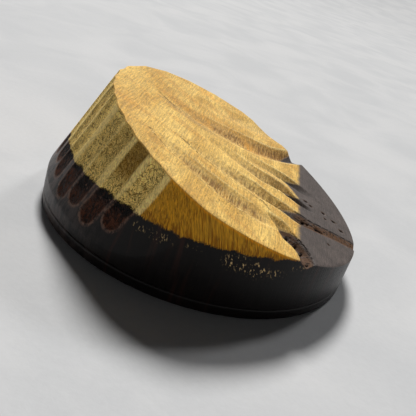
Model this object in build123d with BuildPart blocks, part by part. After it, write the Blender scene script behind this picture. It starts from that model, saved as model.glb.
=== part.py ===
from build123d import *
import math
import os

os.makedirs("parts", exist_ok=True)

# A dealer button: a round puck of two glued hardwoods. The dark layer carries the light
# layer, and both were carved together after gluing. Millimetres and degrees.
# Frame: the turning axis is +Z, the flat foot is on z = 0 with its centre at the origin,
# and the sloping top falls towards +X.

# Driving dimensions
disc_radius = 25.0
foot_thickness = 1.7
colour_line_height = 9.75
top_height_on_axis = 14.45
top_slope = 18.25
blank_height = 24.0

# The thick end leans inwards above this height, like the side of a leaning cylinder
bevel_start_height = 4.75
bevel_lean = 22.8
bevel_radius = 1.02 * disc_radius

# Round-nosed gouge strokes up the leaning side, one beside the other. Each starts in the dark
# layer, this far along the leaning cylinder's axis, and runs out through the top
gouge_starts = [-2.6, -5.1, -5.4, -7.0, -6.8, -6.2, -7.0, -5.8, -6.4]
gouge_first_angle = -119.6
gouge_step = -7.9
gouge_radius = 6.0
gouge_depth = 0.22
gouge_length = 32.0

# Flutes on the sloping top. Each one is a lopsided V track through stations of
# (x, y, depth below the top, width up its back side, width up its front side)
back_rim_flute = [
    (-9, 11, 0.05, 0.5, 0.5),
    (-3, 15, 0.3, 2.2, 2.2),
    (3, 19.5, 0.4, 2.8, 2.8),
    (9, 25.5, 0.4, 2.8, 2.8),
]
back_flute = [
    (-12.5, 2.8, 0.05, 0.4, 0.4),
    (-6.4, 3.2, 0.3, 1.8, 1.8),
    (0.2, 6.4, 0.6, 2.6, 2.6),
    (4.5, 9.8, 0.8, 2.6, 2.8),
    (8, 13.4, 1.0, 2.0, 2.6),
    (10.3, 16.2, 1.2, 1.7, 2.4),
    (13, 20.4, 1.2, 1.6, 2.2),
    (15.5, 25.5, 1.0, 1.5, 2.0),
]
upper_flute = [
    (1.5, 0.9, 0.05, 0.3, 0.3),
    (5, 2.6, 0.25, 1.4, 1.8),
    (8.1, 4.4, 0.5, 1.4, 2.8),
    (11.8, 6.4, 0.85, 1.1, 4.2),
    (14.4, 6.4, 0.7, 1.2, 5.2),
    (17, 6.1, 0.3, 1.2, 3.0),
    (19.5, 5.9, 0.05, 0.4, 0.6),
]
middle_flute = [
    (-4, -2, 0.05, 0.3, 0.3),
    (-0.3, -1.7, 0.25, 1.5, 1.8),
    (5.3, -1.2, 0.6, 2.1, 2.2),
    (8, -0.4, 1.0, 2.3, 2.1),
    (10.3, 0.5, 1.5, 2.2, 2.2),
    (12.4, 0, 1.5, 1.6, 1.8),
    (14.4, -0.4, 1.0, 1.1, 1.2),
    (17, -0.3, 0.05, 0.4, 0.4),
]
lower_flute = [
    (-7, -9.4, 0.05, 0.4, 0.4),
    (-2.9, -8.9, 0.3, 1.8, 2.0),
    (3.8, -8.3, 0.6, 2.0, 2.6),
    (7, -7.4, 0.8, 1.9, 2.6),
    (11.1, -6.7, 1.1, 1.8, 2.3),
    (14, -6.9, 0.9, 2.0, 2.1),
    (17.1, -6.0, 0.5, 1.4, 1.4),
    (20.5, -4.2, 0.4, 1.2, 1.2),
    (26, -1.6, 0.35, 1.2, 1.2),
]
front_flute = [
    (-10, -13.4, 0.05, 0.4, 0.4),
    (-4.6, -15.2, 0.35, 1.7, 1.6),
    (0, -15.9, 0.6, 2.3, 2.2),
    (4, -16.0, 0.65, 2.4, 2.2),
    (8, -15.8, 0.45, 2.2, 1.8),
    (11, -15.6, 0.05, 0.6, 0.6),
]
hook_flute = [
    (8.6, -12.7, 0.05, 0.3, 0.3),
    (11.1, -13.5, 1.05, 1.7, 1.6),
    (13.4, -14.9, 1.3, 1.2, 3.0),
    (15.1, -16.9, 1.1, 1.3, 2.2),
    (15.9, -19.4, 0.85, 1.1, 1.5),
    (16.3, -23.5, 0.6, 1.0, 1.3),
]
flutes = [
    back_rim_flute,
    back_flute,
    upper_flute,
    middle_flute,
    lower_flute,
    front_flute,
    hook_flute,
]
clear_above_top = 0.5

# Steel weight in a pocket that the foot closes
weight_radius = 11.0
weight_thickness = 3.0
pocket_side_clearance = 0.2
pocket_top_clearance = 0.2

# Blind dowels that kept the two layers in register while they were glued
dowel_radius = 1.5
dowel_length = 6.6
dowel_hole_depth = 3.5
dowel_places = [(-6, 9), (-6, -9)]
dowel_chamfer = 0.3

foot_edge = 0.5
seam_edge = 0.1
weight_edge = 0.3

slope = math.radians(top_slope)
top_normal = Vector(math.sin(slope), 0, math.cos(slope))
top_plane = Plane(origin=(0, 0, top_height_on_axis), x_dir=(0, 1, 0), z_dir=top_normal)
lean = math.radians(bevel_lean)
# The leaning cylinder's left side meets the turned wall at bevel_start_height
bevel_centre_x = bevel_radius / math.cos(lean) - disc_radius
bevel_plane = Plane(
    origin=(bevel_centre_x, 0, bevel_start_height),
    x_dir=(math.cos(lean), 0, -math.sin(lean)),
    z_dir=(math.sin(lean), 0, math.cos(lean)),
)


def height_of_top(x):
    """Height of the sloping top above the foot, before the flutes."""
    return top_height_on_axis - math.tan(slope) * x


def flute_section(before, here, after):
    """The plane across a flute at one station, square to the track."""
    ahead = Vector(after[0], after[1], height_of_top(after[0]))
    behind = Vector(before[0], before[1], height_of_top(before[0]))
    track = (ahead - behind).normalized()
    place = (here[0], here[1], height_of_top(here[0]))
    return Plane(origin=place, x_dir=top_normal.cross(track), z_dir=track)


# Carving tools, one solid for each cut through both layers
flute_tools = []
for stations in flutes:
    with BuildPart() as flute_tool:
        for i, (x, y, depth, back_width, front_width) in enumerate(stations):
            before = stations[max(i - 1, 0)]
            after = stations[min(i + 1, len(stations) - 1)]
            spread = min((depth + clear_above_top) / depth, 3)
            back_corner = (back_width * spread, clear_above_top)
            front_corner = (-front_width * spread, clear_above_top)
            with BuildSketch(flute_section(before, (x, y), after)):
                with BuildLine():
                    Polyline((0, -depth), back_corner, front_corner, close=True)
                make_face()
        loft(ruled=True)
    flute_tools.append(flute_tool.part)

# Each gouge tool is a cylinder with a ball end, turned about its own axis
gouge_tools = []
gouge_reach = bevel_radius + gouge_radius - gouge_depth
for i, start in enumerate(gouge_starts):
    angle = math.radians(gouge_first_angle + i * gouge_step)
    outward = bevel_plane.x_dir * math.cos(angle) + bevel_plane.y_dir * math.sin(angle)
    ball_centre = bevel_plane.origin + outward * gouge_reach + bevel_plane.z_dir * start
    half_profile = Plane(
        origin=ball_centre, x_dir=outward, z_dir=outward.cross(bevel_plane.z_dir)
    )
    with BuildPart() as gouge_tool:
        with BuildSketch(half_profile):
            with BuildLine():
                ball = CenterArc((0, 0), gouge_radius, -90, 90)
                Polyline(ball @ 1, (gouge_radius, gouge_length), (0, gouge_length), ball @ 0)
            make_face()
        revolve(axis=Axis(ball_centre, bevel_plane.z_dir))
    gouge_tools.append(gouge_tool.part)

with BuildPart() as leaning_side:
    with BuildSketch(bevel_plane):
        Circle(bevel_radius)
    extrude(amount=2 * blank_height, both=True)

with BuildPart() as base_disc:
    with BuildSketch(Plane.XY.offset(foot_thickness)):
        Circle(disc_radius)
    extrude(amount=colour_line_height - foot_thickness)
    chamfer(base_disc.faces().sort_by(Axis.Z)[0].edges(), seam_edge)
    add(leaning_side.part, mode=Mode.INTERSECT)
    split(bisect_by=top_plane, keep=Keep.BOTTOM)
    add(flute_tools, mode=Mode.SUBTRACT)
    add(gouge_tools, mode=Mode.SUBTRACT)
    with BuildSketch(Plane.XY.offset(foot_thickness)):
        Circle(weight_radius + pocket_side_clearance)
    extrude(amount=weight_thickness + pocket_top_clearance, mode=Mode.SUBTRACT)
    with BuildSketch(Plane.XY.offset(colour_line_height)):
        with Locations(dowel_places):
            Circle(dowel_radius)
    extrude(amount=-dowel_hole_depth, mode=Mode.SUBTRACT)
base_disc.part.label = "base_disc"
export_step(base_disc.part, "parts/base_disc.step")

with BuildPart() as carved_cap:
    with BuildSketch(Plane.XY.offset(colour_line_height)):
        Circle(disc_radius)
    extrude(amount=blank_height - colour_line_height)
    add(leaning_side.part, mode=Mode.INTERSECT)
    split(bisect_by=top_plane, keep=Keep.BOTTOM)
    add(flute_tools, mode=Mode.SUBTRACT)
    add(gouge_tools, mode=Mode.SUBTRACT)
    with BuildSketch(Plane.XY.offset(colour_line_height)):
        with Locations(dowel_places):
            Circle(dowel_radius)
    extrude(amount=dowel_hole_depth, mode=Mode.SUBTRACT)
carved_cap.part.label = "carved_cap"
export_step(carved_cap.part, "parts/carved_cap.step")

with BuildPart() as foot_disc:
    with BuildSketch(Plane.XY):
        Circle(disc_radius)
    extrude(amount=foot_thickness)
    chamfer(foot_disc.faces().sort_by(Axis.Z)[-1].edges(), seam_edge)
    fillet(foot_disc.faces().sort_by(Axis.Z)[0].edges(), foot_edge)
foot_disc.part.label = "foot_disc"
export_step(foot_disc.part, "parts/foot_disc.step")

with BuildPart() as weight_slug:
    with BuildSketch(Plane.XY.offset(foot_thickness)):
        Circle(weight_radius)
    extrude(amount=weight_thickness)
    chamfer(weight_slug.edges().filter_by(GeomType.CIRCLE), weight_edge)
weight_slug.part.label = "weight_slug"
export_step(weight_slug.part, "parts/weight_slug.step")

with BuildPart() as register_dowels:
    with BuildSketch(Plane.XY.offset(colour_line_height - dowel_length / 2)):
        with Locations(dowel_places):
            Circle(dowel_radius)
    extrude(amount=dowel_length)
    chamfer(register_dowels.edges().filter_by(GeomType.CIRCLE), dowel_chamfer)
register_dowels.part.label = "register_dowels"
export_step(register_dowels.part, "parts/register_dowels.step")
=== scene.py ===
import math

import bmesh
import bpy
import numpy as np
from mathutils import Matrix, Vector


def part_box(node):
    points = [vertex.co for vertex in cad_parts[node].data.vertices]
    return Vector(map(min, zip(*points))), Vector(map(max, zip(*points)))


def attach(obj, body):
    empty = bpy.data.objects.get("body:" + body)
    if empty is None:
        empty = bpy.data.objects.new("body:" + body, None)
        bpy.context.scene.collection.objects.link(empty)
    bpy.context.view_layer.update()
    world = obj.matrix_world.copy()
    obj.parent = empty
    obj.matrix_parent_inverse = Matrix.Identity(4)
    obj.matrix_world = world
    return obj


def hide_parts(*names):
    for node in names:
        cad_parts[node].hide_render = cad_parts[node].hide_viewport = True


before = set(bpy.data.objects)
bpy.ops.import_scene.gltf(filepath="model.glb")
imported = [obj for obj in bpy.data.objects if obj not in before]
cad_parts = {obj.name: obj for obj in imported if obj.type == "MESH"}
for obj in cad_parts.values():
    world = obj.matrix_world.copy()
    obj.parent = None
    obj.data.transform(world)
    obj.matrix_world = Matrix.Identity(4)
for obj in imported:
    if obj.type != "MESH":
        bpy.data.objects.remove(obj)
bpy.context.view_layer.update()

# A carved two-tone dealer button. Shapes are worked out in millimetres, in the CAD model's
# frame, and turned into metres when a mesh is made.
MM = 0.001

# ---- sizes
def in_mm(length):
    """A length of the frame in millimetres."""
    return round(length / MM, 2)


base_low, base_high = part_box("base_disc")
DISC_RADIUS = in_mm(base_high.x)
FOOT_TOP = in_mm(base_low.z)
COLOUR_LINE = in_mm(base_high.z)
TOP_ON_AXIS = 14.45
TOP_SLOPE = math.radians(18.25)

# The thick end leans inwards above this height, as in the CAD
BEVEL_START = 4.75
BEVEL_LEAN = math.radians(22.8)
BEVEL_RADIUS = 1.02 * DISC_RADIUS
BEVEL_CENTRE_X = BEVEL_RADIUS / math.cos(BEVEL_LEAN) - DISC_RADIUS

# Gouge strokes up the leaning end: where each one starts, and how light or dark it is painted near the
# rim, partly the wood's own tone and partly painted light and shade
GOUGE_STARTS = [-2.6, -5.1, -5.4, -7.0, -6.8, -6.2, -7.0, -5.8, -6.4]
GOUGE_TONE_AND_SHADE = [1.15, 0.5, 0.85, 1.0, 1.1, 0.9, 1.05, 0.9, 1.0]
GOUGE_FIRST = math.radians(-119.6)
GOUGE_STEP = math.radians(-7.9)
GOUGE_RADIUS = 6.0
GOUGE_DEPTH = 0.22

# Knife cuts round the back of the leaning side
KNIFE_FIRST = math.radians(60)
KNIFE_STEP = math.radians(14)
KNIFE_DEPTH = 0.2

# Blind hollows for the steel weight and the dowels, as in the CAD
CLEARANCE = 0.2
WEIGHT_RADIUS = 11.0
WEIGHT_THICKNESS = 3.0
POCKET_DEPTH = WEIGHT_THICKNESS + CLEARANCE
DOWEL_RADIUS = 1.5
DOWEL_PLACES = [(-6, 9), (-6, -9)]
DOWEL_HOLE_DEPTH = 3.5

# Flutes: stations of (x, y, depth, width up the back side, width up the front side), then how
# crisp the valley is (1 is a V), and how much grey-brown dirt lies in it
FLUTES = {
    "back_rim": (
        [(-9, 11, 0.02, 0.6, 0.6), (-3, 15, 0.3, 2.6, 2.6), (3, 19.5, 0.4, 3.2, 3.2),
         (9, 25.5, 0.4, 3.2, 3.2)],
        1.7, 0.2),
    "back": (
        [(-12.5, 2.8, 0.02, 0.5, 0.5), (-6.4, 3.2, 0.3, 2.2, 2.2), (0.2, 6.4, 0.6, 3.0, 3.0),
         (4.5, 9.8, 0.8, 3.0, 3.2), (8, 13.4, 1.0, 2.2, 2.8), (10.3, 16.2, 1.2, 1.8, 2.5),
         (13, 20.4, 1.2, 1.7, 2.3), (15.5, 25.5, 1.0, 1.6, 2.1)],
        1.35, 1.0),
    "upper": (
        [(1.5, 0.9, 0.02, 0.4, 0.4), (5, 2.6, 0.25, 1.6, 2.0), (8.1, 4.4, 0.5, 1.5, 3.0),
         (11.8, 6.4, 0.85, 1.1, 4.2), (14.4, 6.4, 0.7, 1.2, 5.2), (17, 6.1, 0.3, 1.2, 3.0),
         (19.5, 5.9, 0.02, 0.5, 0.7)],
        1.05, 0.25),
    "middle": (
        [(-4, -2, 0.02, 0.4, 0.4), (-0.3, -1.7, 0.25, 1.7, 2.0), (5.3, -1.2, 0.6, 2.3, 2.4),
         (8, -0.4, 1.0, 2.4, 2.2), (10.3, 0.5, 1.5, 2.2, 2.2), (12.4, 0, 1.5, 1.6, 1.8),
         (14.4, -0.4, 1.0, 1.1, 1.2), (17, -0.3, 0.02, 0.4, 0.4)],
        1.05, 0.45),
    "lower": (
        [(-7, -9.4, 0.02, 0.5, 0.5), (-2.9, -8.9, 0.3, 2.0, 2.2), (3.8, -8.3, 0.6, 2.1, 2.7),
         (7, -7.4, 0.8, 1.9, 2.6), (11.1, -6.7, 1.1, 1.8, 2.3), (14, -6.9, 0.9, 2.0, 2.1),
         (17.1, -6.0, 0.5, 1.5, 1.5), (20.5, -4.2, 0.4, 1.3, 1.3), (26, -1.6, 0.35, 1.3, 1.3)],
        1.1, 0.6),
    "front": (
        [(-10, -13.4, 0.02, 0.5, 0.5), (-4.6, -15.2, 0.35, 1.9, 1.7), (0, -15.9, 0.6, 2.5, 2.3),
         (4, -16.0, 0.65, 2.6, 2.3), (8, -15.8, 0.45, 2.3, 1.9), (11, -15.6, 0.02, 0.6, 0.6)],
        1.6, 1.0),
    "hook": (
        [(8.6, -12.7, 0.02, 0.4, 0.4), (11.1, -13.5, 1.05, 1.7, 1.6), (13.4, -14.9, 1.3, 1.2, 3.0),
         (15.1, -16.9, 1.1, 1.3, 2.2), (15.9, -19.4, 0.85, 1.1, 1.5), (16.3, -23.5, 0.6, 1.0, 1.3)],
        1.15, 0.3),
}

# Natural pits in the dark end of the top: (x, y, length, width), all lying the same way
PITS = [
    (15.7, 2.2, 0.75, 0.4), (16.7, 1.75, 0.55, 0.35), (19.2, 2.6, 0.6, 0.5), (19.5, 0.75, 0.4, 0.35),
    (21.2, 2.2, 0.8, 0.35), (22.6, 0.55, 0.8, 0.4), (17.7, -5.45, 0.8, 0.4), (18.5, -5.3, 0.7, 0.45),
    (19.6, -8.6, 0.35, 0.3), (13.9, -7.5, 0.6, 0.35), (15.2, -6.2, 0.6, 0.35), (16.0, -5.9, 0.4, 0.3),
    (12.6, -14.3, 0.5, 0.3), (14.0, -15.2, 0.45, 0.3), (14.9, -16.4, 0.5, 0.3), (15.8, -18.6, 0.5, 0.4),
    (16.5, -19.3, 0.6, 0.35), (15.0, -19.8, 0.5, 0.35),
]
PIT_WAY = (0.9, 0.43)
PIT_DEPTH = 0.45

# Scars where the gouge tore the grain beside the flutes, as lines through (x, y)
SCARS = [
    [(-9.8, -13.6), (-6.5, -15.8), (-4.6, -16.8), (-1.5, -17.9), (1.5, -18.4), (4.5, -18.4),
     (7.5, -17.7)],
    [(-6.0, -8.9), (-3.1, -9.5), (-0.1, -10.0), (2.8, -10.6), (5.7, -10.7), (8.1, -10.5),
     (9.2, -11.4)],
    [(-12.0, 2.4), (-9.5, 1.1), (-7.9, 1.5), (-5.6, 3.1), (-2.7, 3.9)],
]
SCAR_REACH = 0.7

# Clusters of stray golden grains under the colour line: (direction, height, half width in
# degrees, half height, strength)
FLECKS = [
    (-105, 8.3, 3, 0.6, 0.7), (-98, 8.4, 5, 0.9, 0.6), (-88, 8.8, 4, 0.5, 0.4), (-75, 8.3, 4, 1.1, 1),
    (-68, 7.7, 4, 1.2, 1), (-62, 7.4, 4, 0.7, 0.8), (-54, 8.4, 4, 0.5, 0.6), (-20, 7.0, 5, 0.8, 0.6),
    (38, 7.6, 7, 0.9, 0.7), (96, 8.4, 6, 0.9, 1), (112, 8.8, 4, 0.6, 0.7),
]

# How fine the meshes and the flutes' tracks are
SPAN_STEPS = 30
GRID = 250
WALL_ROWS = 84
WALL_SPREAD = 0.92
HOLE_SIDES = 48
FOOT_SIDES = 320

# How far the rim is softened, the turned line over the foot, the foot's soft lower edge, the
# tool rings underneath it, and the angle from which an edge looks sharp
RIM_SOFTNESS = 0.05
SEAM_GROOVE = 0.08
FOOT_EDGE = 0.5
RING_DEPTH = 0.04
SHARP_ANGLE = math.radians(50)


# ---- noise
def lattice(ix, iy, iz, seed):
    """A fixed pseudo-random value from 0 to 1 at each whole-number place."""
    h = (ix * 374761393 + iy * 668265263 + iz * 2147483629 + seed * 1274126177) & 0xFFFFFFFF
    h = ((h ^ (h >> 13)) * 1274126177) & 0xFFFFFFFF
    h = ((h ^ (h >> 16)) * 2246822519) & 0xFFFFFFFF
    return (h ^ (h >> 15)) / 4294967295.0


def value_noise(x, y, z, seed):
    """Smooth noise from -1 to 1 over arrays of coordinates."""
    ix, iy, iz = (np.floor(c).astype(np.int64) for c in (x, y, z))
    fx, fy, fz = x - ix, y - iy, z - iz
    fx, fy, fz = (f * f * f * (f * (f * 6 - 15) + 10) for f in (fx, fy, fz))
    total = 0
    for dx in (0, 1):
        for dy in (0, 1):
            for dz in (0, 1):
                weight = abs(1 - dx - fx) * abs(1 - dy - fy) * abs(1 - dz - fz)
                total = total + weight * lattice(ix + dx, iy + dy, iz + dz, seed)
    return total * 2 - 1


def fractal(x, y, z, size, seed, octaves=3):
    """Layered noise whose largest lumps are about size across."""
    total, amplitude, norm = 0, 1.0, 0.0
    for i in range(octaves):
        k = 2**i / size
        total = total + amplitude * value_noise(x * k, y * k, z * k, seed + i)
        norm += amplitude
        amplitude *= 0.5
    return total / norm


def smooth(low, high, value):
    t = np.clip((value - low) / (high - low), 0, 1)
    return t * t * (3 - 2 * t)


# ---- the carved top
def track(stations):
    """The stations joined by a smooth curve: rows of x, y, depth and the two widths."""
    p = np.array(stations, float)
    p = np.vstack([2 * p[0] - p[1], p, 2 * p[-1] - p[-2]])
    rows = []
    for i in range(1, len(p) - 2):
        t = np.linspace(0, 1, SPAN_STEPS, endpoint=False)[:, None]
        a, b, c, d = p[i - 1], p[i], p[i + 1], p[i + 2]
        square, cube = 2 * a - 5 * b + 4 * c - d, 3 * b - a - 3 * c + d
        rows.append(0.5 * (2 * b + (c - a) * t + square * t**2 + cube * t**3))
    rows.append(p[-2][None])
    rows = np.vstack(rows)
    rows[:, 2:] = np.maximum(rows[:, 2:], 0.01)
    return rows


TRACKS = {name: track(stations) for name, (stations, crisp, dirt) in FLUTES.items()}


def flute_field(name, x, y):
    """Depth of one flute at each place, and how near the place is to its valley (0 to 1)."""
    rows = TRACKS[name]
    crisp = FLUTES[name][1]
    ahead = np.gradient(rows[:, :2], axis=0)
    step = np.linalg.norm(ahead, axis=1)
    ahead = ahead / step[:, None]
    depth_out = np.zeros(len(x))
    near_out = np.zeros(len(x))
    reach = rows[:, 3:].max() + 0.5
    low, high = rows[:, :2].min(0) - reach, rows[:, :2].max(0) + reach
    inside = np.nonzero((x > low[0]) & (x < high[0]) & (y > low[1]) & (y < high[1]))[0]
    index = np.arange(len(rows))
    for part in np.array_split(inside, max(1, len(inside) // 20000)):
        dx = x[part][:, None] - rows[None, :, 0]
        dy = y[part][:, None] - rows[None, :, 1]
        k = np.argmin(dx * dx + dy * dy, axis=1)
        n = np.arange(len(part))
        along = dx[n, k] * ahead[k, 0] + dy[n, k] * ahead[k, 1]
        across = dx[n, k] * ahead[k, 1] - dy[n, k] * ahead[k, 0]
        place = k + along / step[k]
        over = np.maximum(np.maximum(-place, place - (len(rows) - 1)), 0) * step[k]
        depth = np.interp(place, index, rows[:, 2])
        back_width = np.interp(place, index, rows[:, 3])
        front_width = np.interp(place, index, rows[:, 4])
        width = np.where(across > 0, front_width, back_width)
        u = np.clip(np.hypot(across, over) / width, 0, 1)
        depth_out[part] = depth * (1 - u**crisp)
        near_out[part] = 1 - u
    return depth_out, near_out


def wander(x, y):
    """Freehand tools don't run true: a small sideways drift of every cut."""
    return (
        x + 0.25 * fractal(x, y, 0 * x, 6.0, 11),
        y + 0.22 * fractal(x, y, 0 * x, 5.0, 17),
    )


def carve(x, y):
    """Depth of the deepest flute at each place, with each flute's own field."""
    wx, wy = wander(x, y)
    fields = {name: flute_field(name, wx, wy) for name in FLUTES}
    depth = np.max([f[0] for f in fields.values()], axis=0)
    return depth, fields


def plane_height(x):
    return TOP_ON_AXIS - math.tan(TOP_SLOPE) * x


def top_height(x, y):
    depth, _ = carve(x, y)
    return plane_height(x) - depth


def pit_distances(x, y):
    """For each pit, the squared distance from its middle, measured in its own length and width."""
    c, s = PIT_WAY
    for px, py, length, width in PITS:
        along = (x - px) * c + (y - py) * s
        across = (y - py) * c - (x - px) * s
        yield (along / length) ** 2 + (across / width) ** 2


def scar_field(x, y):
    """1 along each torn scar, falling to 0 at SCAR_REACH from it."""
    nearest = np.full(len(x), 9.0)
    for scar in SCARS:
        line = np.array(scar, float)
        for a, step in zip(line, np.diff(line, axis=0)):
            share = ((x - a[0]) * step[0] + (y - a[1]) * step[1]) / (step**2).sum()
            share = np.clip(share, 0, 1)
            away = np.hypot(x - a[0] - share * step[0], y - a[1] - share * step[1])
            nearest = np.minimum(nearest, away)
    return np.maximum(1 - nearest / SCAR_REACH, 0)


def top_relief(x, y, z, depth):
    """Hand-tool marks, lifted fibres and pits on the sloping top."""
    golden = smooth(COLOUR_LINE - 0.2, COLOUR_LINE + 0.2, z)
    rolling = 0.10 * fractal(x, y, z, 5.0, 31, 2)
    tufts = 0.035 * fractal(x, y * 0.6, z, 0.9, 37, 3)
    chatter = 0.05 * np.sin(x * 2 * math.pi / 0.62 + 1.5 * fractal(x, y, z, 3.0, 41, 2))
    patchy = 0.4 + 0.6 * value_noise(x * 0.3, y * 0.5, 0 * x, 43)
    chatter = chatter * smooth(0.35, 0.9, depth) * patchy
    relief = golden * (rolling + tufts + chatter) + (1 - golden) * (0.3 * rolling + 0.2 * tufts)
    for away in pit_distances(x, y):
        relief = relief - PIT_DEPTH * np.exp(-away * 4)
    return relief


# ---- the side
def bevel_coordinates(x, y, z):
    """Place in the leaning cylinder's frame: across, sideways, along its axis."""
    dx, dz = x - BEVEL_CENTRE_X, z - BEVEL_START
    c, s = math.cos(BEVEL_LEAN), math.sin(BEVEL_LEAN)
    return dx * c - dz * s, y, dx * s + dz * c


def gouge_surface(angle, along):
    """Radius of the deepest gouge stroke's surface, whether or not it reaches the wood."""
    nearest = np.full(np.shape(angle), 1e9)
    for i, start in enumerate(GOUGE_STARTS):
        swing = 0.005 * np.sin(along * 0.5 + i * 1.9) + 0.009 * math.sin(i * 2.7)
        turn = (angle - GOUGE_FIRST - i * GOUGE_STEP - swing + math.pi) % (2 * math.pi) - math.pi
        deeper = 0.04 * math.sin(i * 3.1) * smooth(-2, 4, along)
        reach = BEVEL_RADIUS + GOUGE_RADIUS - GOUGE_DEPTH - deeper
        room = GOUGE_RADIUS**2 - (reach * np.sin(turn)) ** 2 - np.maximum(start - along, 0) ** 2
        hit = np.where(room > 0, reach * np.cos(turn) - np.sqrt(np.maximum(room, 0)), 1e9)
        nearest = np.minimum(nearest, np.where(np.abs(turn) < 1, hit, 1e9))
    return nearest


def knife_facets(angle):
    """How deep the shallow knife cuts are in each direction."""
    span = (angle - KNIFE_FIRST) / KNIFE_STEP
    facet = span - np.floor(span)
    turn = np.degrees(angle)
    behind = smooth(75, 100, turn) * smooth(178, 168, turn)
    return behind * KNIFE_DEPTH * (1 - (2 * facet - 1) ** 2)


def side_radius(phi, z, gouged=True):
    """How far the side is from the turning axis, in direction phi at height z."""
    r = np.full(np.shape(phi), DISC_RADIUS)
    for _ in range(9):
        u, v, w = bevel_coordinates(r * np.cos(phi), r * np.sin(phi), z)
        here = np.hypot(u, v)
        angle = np.arctan2(v, u)
        wanted = BEVEL_RADIUS
        if gouged:
            wanted = np.minimum(wanted, gouge_surface(angle, w)) - knife_facets(angle)
        rate = (u * np.cos(phi) * math.cos(BEVEL_LEAN) + v * np.sin(phi)) / here
        r = r + (wanted - here) / np.maximum(rate, 0.3)
        r = np.clip(r, 5, DISC_RADIUS)
    return r


def gouge_fields(x, y, z):
    """Where the end is gouged, its ridges, its surroundings, and how light or dark each stroke is
    painted, partly as painted light and shade.
    """
    phi = np.arctan2(y, x)
    plain = side_radius(phi, z, gouged=False)
    u, v, w = bevel_coordinates(plain * np.cos(phi), plain * np.sin(phi), z)
    angle = np.arctan2(v, u)
    cut = np.clip(np.hypot(u, v) - gouge_surface(angle, w), -1, 1)
    cut = cut + 0.012 * fractal(x, y, z, 1.1, 47, 2)
    stroke = np.round(((angle - GOUGE_FIRST) % (-2 * math.pi)) / GOUGE_STEP)
    stroke = np.clip(stroke, 0, len(GOUGE_STARTS) - 1).astype(int)
    return {
        "gouged": smooth(-0.01, 0.03, cut),
        "ridge": smooth(-0.13, -0.05, cut) * smooth(0.06, 0.02, cut),
        "around": smooth(-0.4, -0.3, cut),
        "tone": 1 + (np.array(GOUGE_TONE_AND_SHADE)[stroke] - 1) * smooth(10.5, 14.5, z),
    }


def side_relief(x, y, z):
    """Torn grain in the gouge strokes and faint turning marks on the wall."""
    fields = gouge_fields(x, y, z)
    gouged, ridge = fields["gouged"], fields["ridge"]
    torn = fractal(x, y, z * 0.7, 0.8, 53, 3)
    rough = 0.09 * torn - 0.12 * smooth(0.25, 0.6, torn)
    turned = 0.003 * np.sin(z * 2 * math.pi / 0.8) + 0.015 * fractal(x, y, z, 4.0, 59, 2)
    return gouged * (1 - ridge) * rough + (1 - gouged) * turned


def seam_groove(z):
    """The small chamfer that leaves a turned line over the foot."""
    return np.maximum(SEAM_GROOVE - (z - FOOT_TOP), 0)


# ---- the glued and carved blank
def rim_outline(phi):
    """How far the rim is from the axis in each direction: where the top meets the side."""
    r = np.full(len(phi), DISC_RADIUS)
    for _ in range(8):
        r = side_radius(phi, top_height(r * np.cos(phi), r * np.sin(phi)))
    return r


def square_to_rim(r_rim):
    """A square grid bent into the rim's outline: its points, and their share of the way out."""
    a, b = np.meshgrid(np.linspace(-1, 1, GRID + 1), np.linspace(-1, 1, GRID + 1), indexing="ij")
    wide = np.abs(a) >= np.abs(b)
    safe_a, safe_b = np.where(a == 0, 1, a), np.where(b == 0, 1, b)
    share = np.where(wide, a, b)
    turn = np.where(wide, math.pi / 4 * b / safe_a, math.pi / 2 - math.pi / 4 * a / safe_b)
    turn = np.where((a == 0) & (b == 0), 0, turn)
    turn = np.where(share < 0, turn + math.pi, turn)
    share = np.abs(share)
    turn = (turn + math.pi / 4) % (2 * math.pi)
    around = len(r_rim)
    ring = np.append(r_rim, r_rim[0])
    r = share * np.interp(turn * around / (2 * math.pi), np.arange(around + 1), ring)
    turn = turn - math.pi / 4
    return (r * np.cos(turn)).ravel(), (r * np.sin(turn)).ravel(), share.ravel()


def blank_shell():
    """Points and faces of the carved blank above the foot, as one skin with an open bottom."""
    around = 4 * GRID
    phi = -math.pi / 4 + np.arange(around) * 2 * math.pi / around
    x, y, share = square_to_rim(rim_outline(phi))
    depth, _ = carve(x, y)
    z = plane_height(x) - depth
    from_rim = (1 - share) * DISC_RADIUS
    z = z + top_relief(x, y, z, depth) * smooth(0.0, 0.5, from_rim)
    z = z - RIM_SOFTNESS * smooth(0.12, 0.0, from_rim)
    top = np.column_stack([x, y, z])
    index = np.arange(len(top)).reshape(GRID + 1, GRID + 1)
    corners = (index[:-1, :-1], index[1:, :-1], index[1:, 1:], index[:-1, 1:])
    faces = [np.stack(corners, axis=-1).reshape(-1, 4)]
    # the wall: rows from the rim down to the foot, a little wider apart near the rim
    edge = np.concatenate([
        index[GRID, :GRID], index[GRID:0:-1, GRID], index[0, GRID:0:-1], index[:GRID, 0],
    ])
    z_top = top[edge, 2]
    points = [top]
    previous = edge
    for row in range(WALL_ROWS):
        share = 1 - ((row + 1) / WALL_ROWS) ** WALL_SPREAD
        zz = FOOT_TOP + (z_top - FOOT_TOP) * share
        rr = side_radius(phi, zz)
        relief = side_relief(rr * np.cos(phi), rr * np.sin(phi), zz)
        rr = rr + relief * smooth(0.0, 0.5, z_top - zz)
        rr = rr - seam_groove(zz)
        points.append(np.column_stack([rr * np.cos(phi), rr * np.sin(phi), zz]))
        here = len(top) + row * around + np.arange(around)
        faces.append(np.stack([previous, here, np.roll(here, -1), np.roll(previous, -1)], axis=-1))
        previous = here
    return np.vstack(points), np.vstack(faces)


def mesh_from(name, points, faces):
    mesh = bpy.data.meshes.new(name)
    mesh.vertices.add(len(points))
    mesh.vertices.foreach_set("co", (np.asarray(points, float) * MM).ravel())
    faces = np.asarray(faces)
    mesh.loops.add(faces.size)
    mesh.loops.foreach_set("vertex_index", faces.ravel())
    mesh.polygons.add(len(faces))
    mesh.polygons.foreach_set("loop_start", np.arange(len(faces)) * faces.shape[1])
    mesh.update(calc_edges=True)
    mesh.validate()
    return mesh


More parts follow.
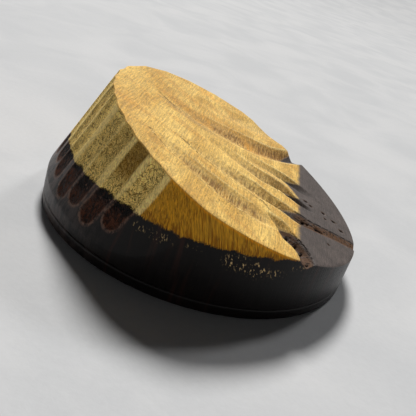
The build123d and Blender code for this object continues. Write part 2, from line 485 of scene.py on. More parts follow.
def smooth_piece(name, mesh):
    """An object with smooth shading, placed in the scene."""
    mesh.polygons.foreach_set("use_smooth", np.ones(len(mesh.polygons), bool))
    piece = bpy.data.objects.new(name, mesh)
    bpy.context.scene.collection.objects.link(piece)
    return piece


def close_face(bm, height, centres, radius):
    """Closes the open outline at one height, leaving round holes, and returns their rings."""
    outline = []
    for edge in bm.edges:
        if edge.is_boundary and all(abs(v.co.z - height * MM) < 1e-7 for v in edge.verts):
            outline.append(edge)
    rings = []
    for cx, cy in centres:
        ring = []
        for i in range(HOLE_SIDES):
            turn = 2 * math.pi * i / HOLE_SIDES
            x, y = cx + radius * math.cos(turn), cy + radius * math.sin(turn)
            ring.append(bm.verts.new((x * MM, y * MM, height * MM)))
        outline += [bm.edges.new(pair) for pair in zip(ring, ring[1:] + ring[:1])]
        rings.append(ring)
    bmesh.ops.triangle_fill(bm, edges=outline, use_beauty=True, use_dissolve=False)
    return rings


def sink_hole(bm, ring, depth):
    """Turns a ring in a flat face into a blind hole. A negative depth goes down."""
    low = [bm.verts.new(v.co + Vector((0, 0, depth * MM))) for v in ring]
    for i in range(len(ring)):
        j = (i + 1) % len(ring)
        bm.faces.new((ring[i], ring[j], low[j], low[i]))
    bm.faces.new(low)


def split_piece(name, points, faces, above):
    """One layer of the blank: the part above or below the colour line, closed."""
    mesh = mesh_from(name, points, faces)
    bm = bmesh.new()
    bm.from_mesh(mesh)
    geometry = list(bm.verts) + list(bm.edges) + list(bm.faces)
    bmesh.ops.bisect_plane(
        bm, geom=geometry, dist=1e-8, plane_co=(0, 0, COLOUR_LINE * MM), plane_no=(0, 0, 1),
        clear_outer=not above, clear_inner=above,
    )
    for ring in close_face(bm, COLOUR_LINE, DOWEL_PLACES, DOWEL_RADIUS):
        sink_hole(bm, ring, DOWEL_HOLE_DEPTH if above else -DOWEL_HOLE_DEPTH)
    if not above:
        for ring in close_face(bm, FOOT_TOP, [(0, 0)], WEIGHT_RADIUS + CLEARANCE):
            sink_hole(bm, ring, POCKET_DEPTH)
    bmesh.ops.recalc_face_normals(bm, faces=bm.faces)
    open_edges = sum(1 for e in bm.edges if not e.is_manifold)
    print(name, "faces", len(bm.faces), "open or doubled edges", open_edges)
    bm.to_mesh(mesh)
    bm.free()
    piece = smooth_piece(name, mesh)
    mesh.set_sharp_from_angle(angle=SHARP_ANGLE)
    return piece


def flute_marks(x, y):
    """What the flutes leave on the top: dirt, stains and streaks, a painted highlight on the crests and
    painted shade in the creases.
    """
    depth, fields = carve(x, y)
    near = {name: field[1] for name, field in fields.items()}
    dirt = []
    for name, (deep, close) in fields.items():
        dirt.append(FLUTES[name][2] * smooth(0, 0.6, close) * smooth(0.05, 0.5, deep))
    # orange stains beside the back flute and at the left, and a grey one on its other side
    warm = smooth(0.1, 0.7, flute_field("back", *wander(x + 0.6, y - 1.2))[1])
    warm = np.maximum(warm, 0.9 * np.exp(-((x + 14) ** 2 + (y + 9.4) ** 2) / 14))
    grey = smooth(0.1, 0.6, flute_field("back", *wander(x - 0.8, y + 1.9))[1]) * smooth(0.5, -3, x)
    # the fold finds convex crests, which get a painted highlight, and concave creases, which get painted
    # shade
    fold = carve(x - 0.16, y + 0.32)[0] + carve(x + 0.16, y - 0.32)[0] - 2 * depth
    streak = smooth(0, 0.4, near["lower"]) * smooth(13, 14.5, x)
    streak = streak + 0.8 * smooth(0, 0.4, near["hook"]) * smooth(11, 12, x)
    edge = [smooth(0, 0.08, near[name]) * smooth(0.32, 0.12, near[name]) for name in ("hook", "lower")]
    return {
        "hollow": np.minimum(depth / 1.2, 1),
        "dirt": np.maximum(np.max(dirt, axis=0), 1.1 * grey),
        "warm": warm,
        "painted_crest_highlight": smooth(0.02, 0.14, fold),
        "painted_crease_shade": smooth(0.06, 0.25, -fold),
        "streak": streak,
        "edge": np.max(edge, axis=0) * smooth(10.5, 12, x),
    }


def fleck_field(x, y, z):
    """How many stray golden grains the dark wall has at each place."""
    fleck = np.zeros(len(x))
    for turn, height, wide, tall, strength in FLECKS:
        off = (np.degrees(np.arctan2(y, x)) - turn + 180) % 360 - 180
        fleck = np.maximum(fleck, strength * np.exp(-((off / wide) ** 2) - ((z - height) / tall) ** 2))
    return fleck


def write_fields(piece):
    """Stores where the dirt, ridges and cuts are, for the materials to read."""
    mesh = piece.data
    co = np.zeros(len(mesh.vertices) * 3)
    mesh.vertices.foreach_get("co", co)
    x, y, z = (co.reshape(-1, 3) / MM).T
    below = top_height(x, y) - z
    on_top = smooth(0.14, 0.03, below)
    on_wall = 1 - on_top
    gouge = gouge_fields(x, y, z)
    values = {name: value * on_top for name, value in flute_marks(x, y).items()}
    values["on_top"] = on_top
    values["scar"] = scar_field(x, y) * on_top
    values["pit"] = np.max([np.exp(-away * 2.5) for away in pit_distances(x, y)], axis=0) * on_top
    values["rim"] = smooth(0.6, 0.2, below) * on_wall
    values["fleck"] = fleck_field(x, y, z) * on_wall * (1 - gouge["gouged"])
    values["tone"] = gouge["tone"]
    for name in ("gouged", "ridge", "around"):
        values[name] = gouge[name] * on_wall
    for name, value in values.items():
        stored = mesh.attributes.new(name, "FLOAT", "POINT")
        stored.data.foreach_set("value", value.astype(np.float32))


points, faces = blank_shell()
cap = split_piece("carved_cap_wood", points, faces, above=True)
base = split_piece("base_disc_wood", points, faces, above=False)
for piece in (cap, base):
    write_fields(piece)


# ---- the foot
def foot_profile():
    """Points (radius, height) of the foot from the middle of its underside to the middle of its top."""
    bottom = [(0.0, RING_DEPTH)]
    for r in np.arange(0.4, DISC_RADIUS - FOOT_EDGE - 0.3, 0.4):
        bottom.append((r, RING_DEPTH if (r * 0.5) % 1 < 0.5 else 0.015))
    bottom.append((DISC_RADIUS - FOOT_EDGE - 0.1, 0.0))
    corner = []
    for turn in np.linspace(0, math.pi / 2, 9):
        out, up = math.sin(turn), 1 - math.cos(turn)
        corner.append((DISC_RADIUS - FOOT_EDGE + FOOT_EDGE * out, FOOT_EDGE * up))
    wall = [(DISC_RADIUS, z) for z in (0.75, 1.0, 1.25, FOOT_TOP - SEAM_GROOVE)]
    top = [(DISC_RADIUS - SEAM_GROOVE, FOOT_TOP), (DISC_RADIUS * 0.7, FOOT_TOP), (0.0, FOOT_TOP)]
    return np.array(bottom + corner + wall + top)


def turned_foot():
    """The foot disc: a turned profile with a soft lower edge and faint tool rings underneath."""
    profile = foot_profile()
    phi = np.arange(FOOT_SIDES) * 2 * math.pi / FOOT_SIDES
    r, z = profile[1:-1, :1], profile[1:-1, 1:]
    around_x, around_y = 5 * np.cos(phi) + 0 * r, 5 * np.sin(phi) + 0 * r
    wave = 0.02 * fractal(around_x, around_y, z + 0 * phi, 1.5, 71, 2)
    r = r + (wave - 0.02) * smooth(DISC_RADIUS - 0.3, DISC_RADIUS, r)
    body = np.stack([r * np.cos(phi), r * np.sin(phi), z + 0 * phi], axis=-1).reshape(-1, 3)
    points = np.vstack([body, [[0, 0, profile[0, 1]], [0, 0, profile[-1, 1]]]])
    low, high = len(body), len(body) + 1
    k = np.arange(FOOT_SIDES)
    j = (k + 1) % FOOT_SIDES
    last = len(body) - FOOT_SIDES
    faces = []
    for row in range(0, last, FOOT_SIDES):
        above = row + FOOT_SIDES
        faces += np.column_stack([row + k, row + j, above + j, above + k]).tolist()
    faces += [[j[i], k[i], low] for i in range(FOOT_SIDES)]
    faces += [[last + k[i], last + j[i], high] for i in range(FOOT_SIDES)]
    mesh = bpy.data.meshes.new("foot_disc_wood")
    mesh.from_pydata([Vector(p) * MM for p in points.tolist()], [], faces)
    mesh.validate()
    return smooth_piece("foot_disc_wood", mesh)


foot = turned_foot()


# ---- materials
class Paint:
    """One procedural material, built up by short calls. Sizes are in millimetres."""

    def __init__(self, name):
        self.material = bpy.data.materials.new(name)
        self.material.use_nodes = True
        self.tree = self.material.node_tree
        self.tree.nodes.clear()
        self.fields = {}
        self.place = self.add("ShaderNodeTexCoord").outputs["Object"]
        parts = self.add("ShaderNodeSeparateXYZ")
        self.put(parts.inputs[0], self.place)
        self.x, self.y, self.z = (self.math("DIVIDE", axis, MM) for axis in parts.outputs)

    def add(self, kind, **settings):
        node = self.tree.nodes.new(kind)
        for key, value in settings.items():
            setattr(node, key, value)
        return node

    def put(self, socket, value):
        if isinstance(value, bpy.types.NodeSocket):
            self.tree.links.new(value, socket)
        else:
            socket.default_value = value

    def math(self, operation, *values, clamp=False):
        node = self.add("ShaderNodeMath", operation=operation, use_clamp=clamp)
        for socket, value in zip(node.inputs, values):
            self.put(socket, value)
        return node.outputs[0]

    def times(self, *values):
        total = values[0]
        for value in values[1:]:
            total = self.math("MULTIPLY", total, value)
        return total

    def plus(self, *values):
        total = values[0]
        for value in values[1:]:
            total = self.math("ADD", total, value)
        return total

    def scaled(self, value, amount, base):
        """The value times amount, plus base."""
        return self.math("MULTIPLY_ADD", value, amount, base)

    def inverse(self, value):
        """1 less the value."""
        return self.math("SUBTRACT", 1.0, value)

    def swing(self, noise, amount):
        """Noise moved to lie around 0, times amount."""
        return self.times(self.math("SUBTRACT", noise, 0.5), amount)

    def larger(self, first, second):
        return self.math("MAXIMUM", first, second)

    def radius(self):
        """How far a place is from the turning axis."""
        return self.math("SQRT", self.plus(self.times(self.x, self.x), self.times(self.y, self.y)))

    def between(self, value, low, high):
        """0 at low, 1 at high, smooth in between."""
        node = self.add("ShaderNodeMapRange", interpolation_type="SMOOTHSTEP")
        for socket, number in zip(node.inputs, (value, low, high, 0.0, 1.0)):
            self.put(socket, number)
        return node.outputs[0]

    def field(self, name):
        """A value stored on the mesh."""
        if name not in self.fields:
            self.fields[name] = self.add("ShaderNodeAttribute", attribute_name=name).outputs["Fac"]
        return self.fields[name]

    def stretched(self, size, lean, shift):
        """Coordinates in which one unit is size, leaning about X and then Y by lean degrees."""
        node = self.add("ShaderNodeMapping", vector_type="TEXTURE")
        self.put(node.inputs["Vector"], self.place)
        node.inputs["Location"].default_value = [shift * MM] * 3
        node.inputs["Rotation"].default_value = (math.radians(lean[0]), math.radians(lean[1]), 0)
        node.inputs["Scale"].default_value = [s * MM for s in size]
        return node.outputs[0]

    def noise(self, size, lean=(0.0, 0.0), detail=2.0, roughness=0.5, distortion=0.0, shift=0.0):
        node = self.add("ShaderNodeTexNoise")
        self.put(node.inputs["Vector"], self.stretched(size, lean, shift))
        node.inputs["Scale"].default_value = 1.0
        node.inputs["Detail"].default_value = detail
        node.inputs["Roughness"].default_value = roughness
        node.inputs["Distortion"].default_value = distortion
        return node.outputs["Fac"]

    def specks(self, size, share, lean=(0.0, 0.0), shift=0.0, fill=0.42):
        """Scattered grains, one in some of the cells: share is how many cells have one."""
        node = self.add("ShaderNodeTexVoronoi")
        self.put(node.inputs["Vector"], self.stretched(size, lean, shift))
        node.inputs["Scale"].default_value = 1.0
        chance = self.add("ShaderNodeSeparateColor")
        self.put(chance.inputs[0], node.outputs["Color"])
        picked = self.math("LESS_THAN", chance.outputs[0], share)
        reach = self.scaled(chance.outputs[1], fill * 0.6, fill * 0.5)
        body = self.between(self.math("DIVIDE", node.outputs["Distance"], reach), 1.0, 0.6)
        return self.times(body, picked)

    def blend(self, share, first, second):
        """A colour from first, at 0, to second, at 1."""
        node = self.add("ShaderNodeMix", data_type="RGBA")
        self.put(node.inputs[0], share)
        self.put(node.inputs[6], first)
        self.put(node.inputs[7], second)
        return node.outputs[2]

    def mixed(self, share, first, second):
        """A number from first, at 0, to second, at 1."""
        node = self.add("ShaderNodeMix", data_type="FLOAT")
        self.put(node.inputs[0], share)
        self.put(node.inputs[2], first)
        self.put(node.inputs[3], second)
        return node.outputs[0]

    def shade(self, colour, amount):
        """The colour made darker or lighter by a factor."""
        node = self.add("ShaderNodeMix", data_type="RGBA", blend_type="MULTIPLY")
        node.inputs[0].default_value = 1.0
        self.put(node.inputs[6], colour)
        grey = self.add("ShaderNodeCombineColor")
        for socket in grey.inputs:
            self.put(socket, amount)
        self.put(node.inputs[7], grey.outputs[0])
        return node.outputs[2]

    def finish(self, colour, roughness, height, depth, specular=0.5, metallic=0.0):
        """Joins it all to a shader. depth is how deep the bumps are, in millimetres."""
        shader = self.add("ShaderNodeBsdfPrincipled")
        bump = self.add("ShaderNodeBump")
        bump.inputs["Distance"].default_value = depth * MM
        self.put(bump.inputs["Height"], height)
        self.put(shader.inputs["Base Color"], colour)
        self.put(shader.inputs["Roughness"], roughness)
        self.put(shader.inputs["Normal"], bump.outputs["Normal"])
        shader.inputs["Specular IOR Level"].default_value = specular
        shader.inputs["Metallic"].default_value = metallic
        output = self.add("ShaderNodeOutputMaterial")
        self.put(output.inputs["Surface"], shader.outputs[0])
        return self.material


def rgb(red, green, blue):
    return (red, green, blue, 1.0)


# Linear colours of the two woods
HONEY = rgb(0.70, 0.415, 0.095)
STRAW = rgb(0.90, 0.60, 0.17)
CREAM = rgb(0.98, 0.74, 0.30)
ORANGE = rgb(0.62, 0.30, 0.055)
AMBER = rgb(0.60, 0.27, 0.004)
EMBER = rgb(0.27, 0.085, 0.002)
RUST = rgb(0.95, 0.36, 0.01)
DIRT = rgb(0.40, 0.25, 0.105)
OLIVE = rgb(0.95, 0.67, 0.20)
TAN = rgb(0.70, 0.44, 0.11)
OLIVE_DARK = rgb(0.17, 0.08, 0.012)
PALE_EDGE = rgb(1.0, 0.75, 0.27)
PORE = rgb(0.16, 0.08, 0.018)
BLACK_BROWN = rgb(0.0045, 0.0033, 0.003)
RED_BROWN = rgb(0.026, 0.009, 0.006)
# paler sanded wood, with a painted sheen
SANDED_WITH_SHEEN = rgb(0.098, 0.077, 0.068)
TORN_BROWN = rgb(0.090, 0.028, 0.012)
TORN_EDGE = rgb(0.22, 0.12, 0.08)
# a painted sheen for the dark wood's left end
GREY_SHEEN = rgb(0.085, 0.062, 0.055)
STREAK = rgb(0.15, 0.075, 0.036)
PIT_BLACK = rgb(0.003, 0.002, 0.002)
STRAY = rgb(0.95, 0.66, 0.30)

# How noise leans, in degrees about X and then Y
UPRIGHT = (0.0, -19.0)
NONE = (0.0, 0.0)


def golden_board(p):
    """The light board's own colours: honey to straw, with orange bands and stains."""
    broad = p.noise((5, 12, 6), NONE, 3, 0.55, 0.6)
    bands = p.noise((22, 2.6, 2.6), NONE, 2, 0.5, 0.4, shift=7)
    colour = p.blend(p.between(broad, 0.35, 0.65), HONEY, STRAW)
    colour = p.blend(p.times(p.between(bands, 0.52, 0.66), 0.4, p.field("on_top")), colour, ORANGE)
    return p.blend(p.times(p.field("warm"), 0.5), colour, ORANGE)


def golden_grain(p):
    """Long fibres, fine fibres and pores of the light wood."""
    on_top = p.field("on_top")
    wall_fibres = p.noise((0.2, 0.2, 3.2), UPRIGHT, 2, 0.6)
    top_fibres = p.noise((0.22, 2.6, 0.30), NONE, 2, 0.6, 0.25)
    fibres = p.between(p.mixed(on_top, wall_fibres, top_fibres), 0.32, 0.68)
    wall_fine = p.noise((0.14, 0.14, 1.3), UPRIGHT, 2, 0.6, shift=3)
    top_fine = p.noise((0.16, 0.5, 0.3), UPRIGHT, 2, 0.6, shift=3)
    fine = p.between(p.mixed(on_top, wall_fine, top_fine), 0.34, 0.66)
    pores = p.specks((0.34, 1.1, 1.6), 0.2, fill=0.28)
    return fibres, fine, pores


def flute_hatch(p):
    """Cross marks where the tool chattered."""
    hatch = p.between(p.noise((0.27, 2.0, 2.0), NONE, 1, 0.4, 0.1, shift=11), 0.48, 0.55)
    deep = p.between(p.field("hollow"), 0.15, 0.45)
    return p.times(hatch, deep, p.scaled(p.field("dirt"), 0.8, 0.1), p.field("on_top"))


def flute_colours(p, colour, hatch):
    """The flutes: hollows without dirt lifted towards cream as painted light, else grey-brown dirt, with
    dark cross marks, painted shade in the creases and painted highlights on the crests.
    """
    dirt = p.field("dirt")
    # painted light: the hollows are lifted towards cream where there is no dirt
    painted_hollow_light = p.times(p.between(p.field("hollow"), 0.1, 0.6), p.inverse(dirt), 0.7)
    grime = p.times(dirt, p.between(p.noise((3, 1.4, 1.4), NONE, 3, 0.6, shift=5), 0.22, 0.50))
    chips = p.between(p.noise((0.5, 0.5, 0.5), NONE, 2, 0.6, shift=21), 0.40, 0.55)
    colour = p.blend(painted_hollow_light, colour, CREAM)
    colour = p.blend(p.times(grime, 0.42), colour, DIRT)
    colour = p.blend(p.times(hatch, 0.4), colour, ORANGE)
    colour = p.blend(p.times(hatch, 0.65), colour, OLIVE_DARK)
    # painted shade: the creases are darkened, broken up by chips
    colour = p.blend(p.times(p.field("painted_crease_shade"), chips, 0.8), colour, OLIVE_DARK)
    # painted highlight: the crests are lightened towards cream
    return p.blend(p.times(p.field("painted_crest_highlight"), 0.7), colour, CREAM)


def scar_marks(p):
    """Dark breaks and pale lifted fibres along the scars."""
    broken = p.swing(p.noise((0.9, 0.6, 0.6), NONE, 4, 0.7, shift=27), 2.2)
    scar = p.between(p.plus(p.field("scar"), broken), 0.74, 0.90)
    lifted = p.between(p.plus(p.field("scar"), p.times(broken, -1.0)), 0.80, 0.94)
    return scar, lifted


def amber_wall(p, colour):
    """The plain wall under the rim is a deeper amber, deepest at the front as painted shade, reddest in
    a line below the edge.
    """
    wall, plain = p.inverse(p.field("on_top")), p.inverse(p.field("around"))
    # painted shade: more amber at the front of the wall than at the back
    front = p.scaled(p.between(p.y, 6.0, -12.0), 0.6, 0.3)
    near_line = p.times(p.between(p.z, 11.6, 9.6), 0.10)
    fibres = p.plus(p.noise((0.19, 0.19, 4.0), UPRIGHT, 2, 0.6, shift=19), near_line)
    colour = p.blend(p.times(wall, front, plain), colour, AMBER)
    colour = p.blend(p.times(wall, p.between(fibres, 0.52, 0.66), 0.75), colour, EMBER)
    return p.blend(p.times(p.field("rim"), 0.7), colour, RUST)


def winding_lines(p):
    """Thin winding lines in the torn grain of the gouge strokes."""
    lines = p.noise((1.1, 1.1, 0.9), UPRIGHT, 1, 0.5, 1.8, shift=2)
    return p.between(p.math("PINGPONG", p.times(lines, 4.0), 0.5), 0.15, 0.05)


def golden_gouges(p, colour, lines):
    """The gouged end: torn olive-brown grain with pale ridges."""
    gouged, tone = p.field("gouged"), p.field("tone")
    torn = p.between(p.noise((0.7, 0.7, 1.8), UPRIGHT, 3, 0.6, shift=1), 0.25, 0.55)
    torn = p.blend(torn, TAN, OLIVE)
    torn = p.blend(p.times(lines, 0.8), torn, OLIVE_DARK)
    # painted shade: the darker strokes turn amber and are darkened towards the rim
    torn = p.blend(p.times(p.between(tone, 1.0, 0.5), 0.6), torn, AMBER)
    colour = p.blend(gouged, colour, p.shade(torn, tone))
    land = p.times(p.field("around"), p.inverse(gouged))
    return p.blend(p.times(p.larger(p.field("ridge"), land), 0.85), colour, PALE_EDGE)


def golden_wood(p):
    """Colour, roughness and height of the light wood."""
    fibres, fine, pores = golden_grain(p)
    hatch = flute_hatch(p)
    scar, lifted = scar_marks(p)
    lines = winding_lines(p)
    gouged = p.field("gouged")
    colour = flute_colours(p, golden_board(p), hatch)
    colour = p.blend(p.times(lifted, 0.6), colour, CREAM)
    colour = p.blend(p.times(scar, 0.6), colour, OLIVE_DARK)
    colour = amber_wall(p, colour)
    colour = golden_gouges(p, colour, lines)
    colour = p.shade(colour, p.times(p.scaled(fibres, 0.40, 0.78), p.scaled(fine, 0.34, 0.83)))
    colour = p.blend(p.times(pores, 0.5), colour, PORE)
    roughness = p.plus(0.58, p.times(fibres, 0.15), p.times(gouged, 0.1))
    height = p.plus(p.times(fibres, 0.6), p.times(fine, 0.3), p.times(pores, -0.5), p.times(hatch, -0.8))
    height = p.plus(height, p.times(gouged, lines, -1.8), p.times(scar, -2.0), lifted)
    return colour, roughness, height


def dark_wood(p):
    """Colour, roughness and height of the dark wood before it is carved."""
    grain = p.noise((0.16, 0.16, 5.0), NONE, 3, 0.6, shift=4)
    veins = p.noise((1.9, 1.9, 26), NONE, 2, 0.5, 0.5, shift=6)
    pores = p.specks((0.5, 0.5, 2.4), 0.2, fill=0.2)
    colour = p.blend(p.times(p.between(veins, 0.57, 0.72), 0.8), BLACK_BROWN, RED_BROWN)
    colour = p.shade(colour, p.scaled(grain, 1.2, 0.4))
    # a painted grey sheen at the left end, mottled like wear
    sheen_haze = p.between(p.noise((1.3, 1.3, 2.6), NONE, 4, 0.65, 0.4, shift=29), 0.38, 0.62)
    left = p.times(p.between(p.x, -8.0, -24.0), p.scaled(p.between(p.y, 14.0, 0.0), 0.75, 0.2))
    colour = p.blend(p.times(sheen_haze, p.plus(left, 0.02)), colour, GREY_SHEEN)
    colour = p.blend(p.times(pores, 0.5), colour, PIT_BLACK)
    roughness = p.plus(0.26, p.times(grain, 0.2))
    height = p.plus(p.times(grain, 0.5), p.times(pores, -0.5))
    return colour, roughness, height


def sanded_top_with_sheen(p, colour, cloud, flecked):
    """The sloping top: a paler, cloudy and lightly scratched brown, partly sanded wood and partly a
    painted sheen.
    """
    scratches = p.specks((0.14, 3.0, 3.0), 0.12, (25.0, 0.0), shift=22, fill=0.5)
    sanded_sheen = p.shade(SANDED_WITH_SHEEN, p.scaled(cloud, 0.9, 0.55))
    sanded_sheen = p.shade(sanded_sheen, p.scaled(p.between(flecked, 0.3, 0.7), 0.5, 0.75))
    sanded_sheen = p.shade(sanded_sheen, p.scaled(scratches, 0.5, 1.0))
    return p.blend(p.times(p.field("on_top"), 0.9), colour, sanded_sheen)


def streak_marks(p):
    """Brown streaks, holes and rough edges along the two front notches."""
    brown = p.between(p.noise((1.6, 0.5, 0.5), NONE, 3, 0.6, shift=12), 0.28, 0.50)
    holes = p.between(p.noise((0.5, 0.35, 0.35), NONE, 2, 0.6, shift=23), 0.57, 0.63)
    rough_edge = p.between(p.noise((0.7, 0.5, 0.5), NONE, 3, 0.65, shift=28), 0.36, 0.56)
    streak = p.field("streak")
    return p.times(streak, brown), p.times(streak, holes), p.times(p.field("edge"), rough_edge)


def dark_gouges(p, colour, low, charred, torn, bumps):
    """The feet of the gouge strokes: red-brown torn grain, black and rough next to the line."""
    # painted glints: pale specks in the black patches stand in for highlights
    glints = p.specks((0.34, 0.34, 0.5), 0.2, shift=33, fill=0.45)
    split = p.between(p.noise((0.5, 0.5, 0.8), NONE, 3, 0.7, shift=34), 0.38, 0.58)
    colour = p.blend(p.times(charred, 0.8), colour, PIT_BLACK)
    colour = p.blend(p.times(charred, p.between(bumps, 0.52, 0.68), 0.8), colour, TORN_BROWN)
    colour = p.blend(p.times(charred, glints, 0.8), colour, TORN_EDGE)
    colour = p.blend(p.times(p.field("gouged"), torn, low), colour, TORN_BROWN)
    return p.blend(p.times(p.field("ridge"), p.scaled(split, 0.6, 0.1)), colour, TORN_EDGE)


def carved_dark_wood(p):
    """Colour, roughness and height of the dark wood with its carving."""
    colour, roughness, height = dark_wood(p)
    on_top, gouged, pit = p.field("on_top"), p.field("gouged"), p.field("pit")
    cloud = p.noise((3.5, 2.2, 2.2), NONE, 3, 0.55, shift=8)
    flecked = p.noise((0.2, 1.6, 0.3), NONE, 3, 0.65, 0.2, shift=26)
    colour = sanded_top_with_sheen(p, colour, cloud, flecked)
    brown, holes, rough_edge = streak_marks(p)
    # black along the notches' rough edges, and painted shade in the creases
    shaded = p.larger(p.times(rough_edge, 0.85), p.times(p.field("painted_crease_shade"), 0.6))
    colour = p.blend(p.times(brown, 0.9), colour, STREAK)
    colour = p.blend(p.larger(p.times(holes, 0.9), shaded), colour, PIT_BLACK)
    low = p.between(p.plus(p.z, p.times(cloud, 5.0)), 11.4, 9.6)
    charred = p.times(gouged, p.inverse(low))
    torn = p.between(p.noise((0.5, 0.5, 1.2), NONE, 4, 0.75, 0.5, shift=13), 0.40, 0.60)
    bumps = p.noise((0.5, 0.5, 0.5), NONE, 3, 0.7, shift=25)
    colour = dark_gouges(p, colour, low, charred, torn, bumps)
    # the pits: black, with a brown halo
    colour = p.blend(p.times(p.between(pit, 0.01, 0.25), 0.6), colour, STREAK)
    colour = p.blend(p.between(pit, 0.15, 0.45), colour, PIT_BLACK)
    roughness = p.plus(roughness, p.times(on_top, 0.14), p.times(gouged, 0.35), p.times(brown, 0.35))
    height = p.plus(height, p.times(gouged, torn, 1.4), p.times(brown, -0.6), p.times(holes, -1.5))
    height = p.plus(height, p.times(charred, bumps, 4.0))
    height = p.plus(height, p.times(on_top, flecked, 0.8), p.times(rough_edge, -2.0))
    return colour, roughness, height


def stray_grains(p):
    """Golden grains in the dark wood just under the line."""
    grains = p.between(p.noise((0.26, 0.26, 0.55), UPRIGHT, 2, 0.6, shift=17), 0.58, 0.64)
    faint = p.between(p.noise((0.9, 0.9, 0.9), NONE, 1, shift=24), 0.28, 0.52)
    return p.times(grains, faint, p.between(p.field("fleck"), 0.15, 0.8))


def two_tone(name):
    """The glued blank's two woods, meeting in a slightly ragged line."""
    p = Paint(name)
    ragged = p.plus(
        p.swing(p.noise((2.2, 2.2, 2.2), NONE, 3, 0.6, shift=14), 1.2),
        p.swing(p.noise((0.15, 0.15, 0.35), UPRIGHT, 2, shift=15), 0.9),
    )
    ragged = p.times(ragged, p.scaled(p.field("on_top"), -0.75, 1.0))
    over_line = p.math("SUBTRACT", p.plus(p.z, ragged), COLOUR_LINE)
    share = p.between(over_line, -0.17, 0.17)
    light, light_rough, light_height = golden_wood(p)
    dark, dark_rough, dark_height = carved_dark_wood(p)
    dark = p.blend(p.times(stray_grains(p), 0.85), dark, STRAY)
    colour = p.blend(share, dark, light)
    roughness = p.mixed(share, dark_rough, light_rough)
    height = p.mixed(share, dark_height, light_height)
    return p.finish(colour, roughness, height, 0.07, specular=0.15)


def foot_wood():
    """The dark wood with faint turning rings, for the foot."""
    p = Paint("dark_foot_wood")
    colour, roughness, height = dark_wood(p)
    rings = p.math("SINE", p.times(p.radius(), 9.0))
    height = p.plus(height, p.times(rings, 0.15))
    return p.finish(colour, roughness, height, 0.04, specular=0.15)


def turned_steel():
    """Steel with fine turning rings and a few rust spots."""
    p = Paint("turned_steel")
    rings = p.math("SINE", p.times(p.radius(), 30.0))
    cloud = p.noise((2.5, 2.5, 2.5), NONE, 4, 0.6)
    colour = p.blend(p.between(cloud, 0.35, 0.7), rgb(0.42, 0.42, 0.43), rgb(0.56, 0.56, 0.57))
    spots = p.specks((1.1, 1.1, 1.1), 0.12, fill=0.2)
    colour = p.blend(p.times(spots, 0.5), colour, rgb(0.16, 0.09, 0.05))
    roughness = p.plus(0.26, p.times(cloud, 0.18), p.times(spots, 0.3))
    return p.finish(colour, roughness, p.times(rings, 0.5), 0.02, metallic=1.0)


def dowel_wood():
    """Plain pale beech with short flecks."""
    p = Paint("dowel_beech")
    grain = p.noise((0.2, 0.2, 4.0), NONE, 3, 0.6)
    flecks = p.specks((0.35, 0.35, 1.3), 0.3, fill=0.25)
    colour = p.blend(p.between(grain, 0.3, 0.7), rgb(0.50, 0.32, 0.17), rgb(0.64, 0.45, 0.27))
    colour = p.blend(p.times(flecks, 0.5), colour, rgb(0.30, 0.16, 0.07))
    roughness = p.plus(0.5, p.times(grain, 0.2))
    return p.finish(colour, roughness, p.plus(grain, p.times(flecks, -0.5)), 0.04)


def dress(piece, material):
    """Gives a piece its one material."""
    piece.data.materials.clear()
    piece.data.materials.append(material)


dress(cap, two_tone("golden_and_dark_wood"))
dress(base, two_tone("dark_and_golden_wood"))
dress(foot, foot_wood())
for node, material in (("weight_slug", turned_steel()), ("register_dowels", dowel_wood())):
    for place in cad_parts[node].material_slots:
        place.material = material

for piece, node, slot in (
    (cap, "carved_cap", "light_hardwood"),
    (base, "base_disc", "dark_hardwood"),
    (foot, "foot_disc", "dark_hardwood_foot"),
):
    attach(piece, "root")
    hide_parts(node)


# ---- stage, lights and camera
def floor_mesh():
    """A round floor, in metres, that rises gently far away, so that no horizon shows."""
    flat, far, rise, around = 0.5, 2.9, 1.0, 96
    profile = [(0.2, 0.0), (flat, 0.0)]
    for share in np.linspace(0, 1, 25)[1:]:
        profile.append((flat + (far - flat) * share, rise * share**2))
    turns = [2 * math.pi * i / around for i in range(around)]
    bm = bmesh.new()
    middle = bm.verts.new((0, 0, 0))
    rows = []
    for r, z in profile:
        rows.append([bm.verts.new((r * math.cos(turn), r * math.sin(turn), z)) for turn in turns])
    for i in range(around):
        bm.faces.new((middle, rows[0][i], rows[0][(i + 1) % around]))
    for low, high in zip(rows, rows[1:]):
        for i in range(around):
            j = (i + 1) % around
            bm.faces.new((low[i], high[i], high[j], low[j]))
    mesh = bpy.data.meshes.new("studio_floor")
    bm.to_mesh(mesh)
    bm.free()
    return mesh


def floor_paint():
    """Pale grey with soft clouds."""
    p = Paint("pale_floor")
    cloud = p.noise((28, 28, 28), NONE, 4, 0.55, 0.6)
    speck = p.noise((0.9, 0.9, 0.9), NONE, 2, 0.6)
    colour = p.blend(p.between(cloud, 0.3, 0.7), rgb(0.58, 0.59, 0.605), rgb(0.65, 0.655, 0.665))
    colour = p.shade(colour, p.scaled(speck, 0.08, 0.96))
    # high up it is darker on the side that faces the light, and paler on the other side
    tone = p.scaled(p.between(p.y, -1500.0, 1500.0), 0.85, -0.85)
    colour = p.shade(colour, p.plus(p.times(tone, p.between(p.z, 20.0, 500.0)), 1.0))
    return p.finish(colour, p.plus(0.75, p.times(speck, 0.1)), speck, 0.02, specular=0.1)


def studio_floor():
    """The pale floor that the button stands on."""
    floor = smooth_piece("studio_floor", floor_mesh())
    dress(floor, floor_paint())
    return floor


def soft_sun(name, towards, width, strength, colour=(1, 1, 1)):
    """A broad soft light that comes from one direction, width degrees wide."""
    data = bpy.data.lights.new(name, "SUN")
    data.angle = math.radians(width)
    data.energy = strength
    data.color = colour
    light = bpy.data.objects.new(name, data)
    light.rotation_euler = Vector(towards).to_track_quat("Z", "Y").to_euler()
    bpy.context.scene.collection.objects.link(light)


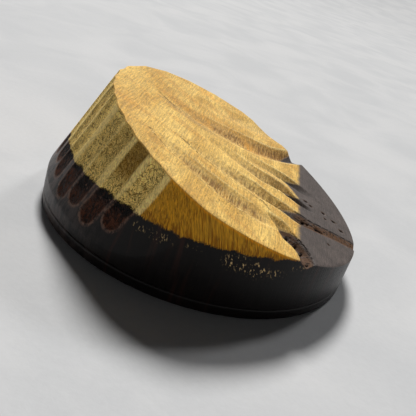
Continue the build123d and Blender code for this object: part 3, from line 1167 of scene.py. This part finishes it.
def surroundings():
    """Soft light from all round, dimmer from the front."""
    world = bpy.data.worlds.new("studio")
    world.use_nodes = True
    bpy.context.scene.world = world
    tree = world.node_tree
    background = tree.nodes["Background"]
    place = tree.nodes.new("ShaderNodeTexCoord")
    parts = tree.nodes.new("ShaderNodeSeparateXYZ")
    span = tree.nodes.new("ShaderNodeMapRange")
    tree.links.new(place.outputs["Generated"], parts.inputs[0])
    tree.links.new(parts.outputs[1], span.inputs[0])
    for socket, value in zip(list(span.inputs)[1:5], (-0.3, 1.0, 0.002, 0.05)):
        socket.default_value = value
    tree.links.new(span.outputs[0], background.inputs["Strength"])
    background.inputs["Color"].default_value = rgb(0.96, 0.98, 1.0)


studio_floor()
surroundings()
soft_sun("key", (-0.16, 0.66, 0.74), 14, 3.65, (1.0, 0.985, 0.96))
soft_sun("side", (0.36, 0.64, 0.70), 8, 0.55)

# The camera fitted to the photo, its place in disc radii
CAMERA_PLACE = (0.042, -3.609, 1.728)
CAMERA_FALL = math.radians(23.8)
CAMERA_ROLL = math.radians(19.2)
SENSOR_WIDTH = 36.0
LENS = 52.3


def photo_camera():
    """The camera of the photo, rolled about its own axis."""
    data = bpy.data.cameras.new("camera")
    data.sensor_width = SENSOR_WIDTH
    data.lens = LENS
    data.clip_start = MM
    camera = bpy.data.objects.new("camera", data)
    level = Vector((1, 0, 0))
    ahead = Vector((0, math.cos(CAMERA_FALL), -math.sin(CAMERA_FALL)))
    above = Vector((0, math.sin(CAMERA_FALL), math.cos(CAMERA_FALL)))
    right = level * math.cos(CAMERA_ROLL) + above * math.sin(CAMERA_ROLL)
    upward = above * math.cos(CAMERA_ROLL) - level * math.sin(CAMERA_ROLL)
    turn = Matrix((right, upward, -ahead)).transposed().to_4x4()
    place = Vector(CAMERA_PLACE) * DISC_RADIUS * MM
    camera.matrix_world = Matrix.Translation(place) @ turn
    bpy.context.scene.collection.objects.link(camera)
    bpy.context.scene.camera = camera


photo_camera()
bpy.context.scene.view_settings.view_transform = "Standard"
